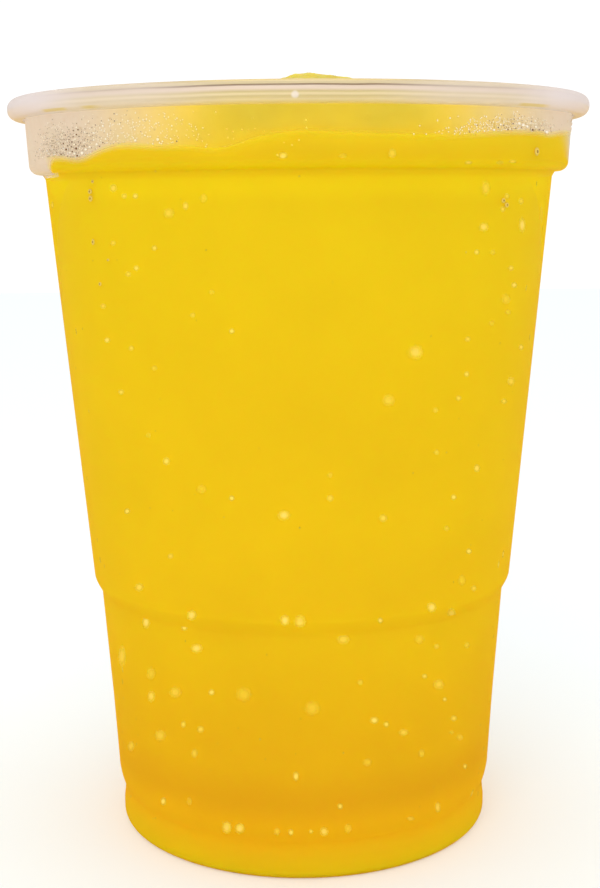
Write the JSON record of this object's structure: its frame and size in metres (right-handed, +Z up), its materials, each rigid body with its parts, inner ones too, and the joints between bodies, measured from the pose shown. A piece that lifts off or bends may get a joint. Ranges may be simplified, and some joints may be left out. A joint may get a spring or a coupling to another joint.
{
  "type": "cup of slushie",
  "caption": "Clear thin plastic cup with a curled rim, wider collar and stepped tapered body, filled with yellow slush heaped just over the rim.",
  "frame": {"origin": "centre of the foot's underside, on the surface the cup stands on", "axes": "+Z up along the cup's axis; the picture looks along +Y, with +X to the right"},
  "size_m": [0.0948, 0.0948, 0.1267],
  "materials": {
    "clear_plastic": "thin clear plastic, glossy, a little milky, misted with condensation at the collar",
    "slush": "wet crushed ice in yellow syrup, fine grained"
  },
  "bodies": {
    "root": {"cup": "clear_plastic", "slush": "slush"}
  },
  "joints": []
}
